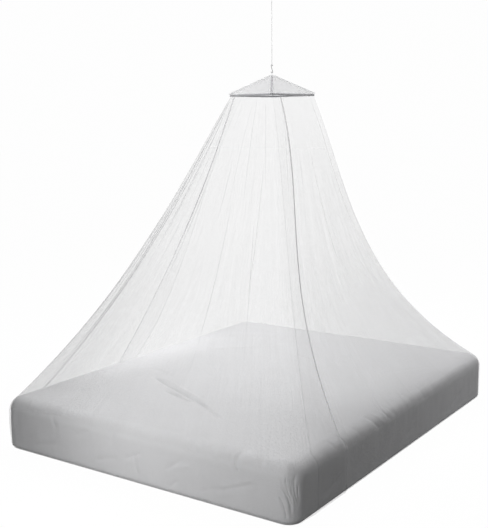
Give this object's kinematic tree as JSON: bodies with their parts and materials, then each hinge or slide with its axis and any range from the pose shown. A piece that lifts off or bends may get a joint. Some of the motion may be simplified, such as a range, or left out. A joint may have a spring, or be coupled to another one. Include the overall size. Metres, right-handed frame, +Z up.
{
  "type": "mosquito net canopy and mattress",
  "caption": "Sheer net canopy hung by a cord from a square spreader frame with a pyramid roof, draped over a double mattress and down to the floor.",
  "frame": {"origin": "on the floor under the middle of the mattress", "axes": "+Z up, +Y from the foot of the mattress to its head, +X to the right seen from the foot"},
  "size_m": [1.6216, 2.0136, 2.2182],
  "materials": {
    "white_cotton": "smooth woven cotton",
    "white_net": "sheer fine net",
    "roof_cloth": "thin dense cloth",
    "grey_tape": "woven binding",
    "frame_rod": "matt",
    "plain_steel": "plain wire",
    "white_cord": "braided cord"
  },
  "bodies": {
    "root": {"mattress": "white_cotton", "wall_foot": "white_net", "wall_head": "white_net", "binding_right": "grey_tape", "binding_left": "grey_tape", "spreader_frame": "frame_rod", "frame_band": "grey_tape", "roof_panel_1": "roof_cloth", "roof_panel_2": "roof_cloth", "roof_panel_3": "roof_cloth", "roof_panel_4": "roof_cloth", "ridge_tape_1": "grey_tape", "ridge_tape_2": "grey_tape", "ridge_tape_3": "grey_tape", "ridge_tape_4": "grey_tape", "apex_loop": "grey_tape", "steel_hook": "plain_steel", "cord_eye": "white_cord", "hanging_cord": "white_cord", "cord_top_loop": "white_cord"}
  },
  "joints": []
}
